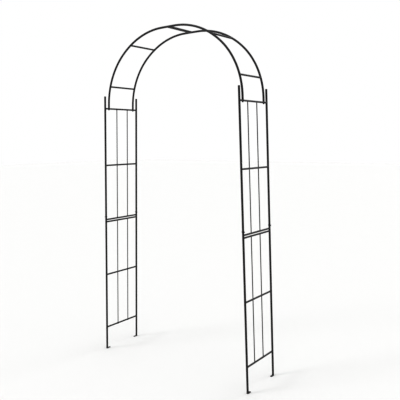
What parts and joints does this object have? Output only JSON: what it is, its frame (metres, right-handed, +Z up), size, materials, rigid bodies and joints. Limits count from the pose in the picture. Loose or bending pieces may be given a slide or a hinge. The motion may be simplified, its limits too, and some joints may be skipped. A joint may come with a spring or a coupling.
{
  "type": "garden trellis arch",
  "caption": "Tall free-standing garden arch of slim black tubes: two ladder panels carry a bowed ladder over a walkway, for climbing plants to grow through.",
  "frame": {"origin": "on the ground, at the middle of the arch in width and in depth", "axes": "+X across the walkway towards the right panel, +Y through the walkway towards the back, +Z up"},
  "size_m": [1.214, 0.319, 2.2057],
  "materials": {
    "frame_steel": "satin black powder coat with a faint orange-peel texture",
    "fastener_steel": "black-coated steel, slightly glossier than the tubes",
    "cap_plastic": "matte black moulded plastic"
  },
  "bodies": {
    "root": {"arch_foot_bolts": "fastener_steel", "arch_foot_plugs": "fastener_steel", "arch_foot_saddles": "fastener_steel", "crown_joint_bolts": "fastener_steel", "crown_joint_nuts": "fastener_steel", "left_arch_crown_rung": "frame_steel", "left_arch_lower_rung": "frame_steel", "left_arch_middle_rung": "frame_steel", "left_back_arch_tube": "frame_steel", "left_back_foot": "frame_steel", "left_front_arch_tube": "frame_steel", "left_front_foot": "frame_steel", "left_lower_back_rod": "frame_steel", "left_lower_back_upright": "frame_steel", "left_lower_bottom_rung": "frame_steel", "left_lower_front_rod": "frame_steel", "left_lower_front_upright": "frame_steel", "left_lower_middle_rung": "frame_steel", "left_lower_top_rung": "frame_steel", "left_upper_back_rod": "frame_steel", "left_upper_back_upright": "frame_steel", "left_upper_bottom_rung": "frame_steel", "left_upper_front_rod": "frame_steel", "left_upper_front_upright": "frame_steel", "left_upper_middle_rung": "frame_steel", "left_upper_top_rung": "frame_steel", "panel_joint_bolts": "fastener_steel", "panel_joint_nuts": "fastener_steel", "right_arch_crown_rung": "frame_steel", "right_arch_lower_rung": "frame_steel", "right_arch_middle_rung": "frame_steel", "right_back_arch_tube": "frame_steel", "right_back_foot": "frame_steel", "right_front_arch_tube": "frame_steel", "right_front_foot": "frame_steel", "right_lower_back_rod": "frame_steel", "right_lower_back_upright": "frame_steel", "right_lower_bottom_rung": "frame_steel", "right_lower_front_rod": "frame_steel", "right_lower_front_upright": "frame_steel", "right_lower_middle_rung": "frame_steel", "right_lower_top_rung": "frame_steel", "right_upper_back_rod": "frame_steel", "right_upper_back_upright": "frame_steel", "right_upper_bottom_rung": "frame_steel", "right_upper_front_rod": "frame_steel", "right_upper_front_upright": "frame_steel", "right_upper_middle_rung": "frame_steel", "right_upper_top_rung": "frame_steel", "upright_caps": "cap_plastic"}
  },
  "joints": []
}
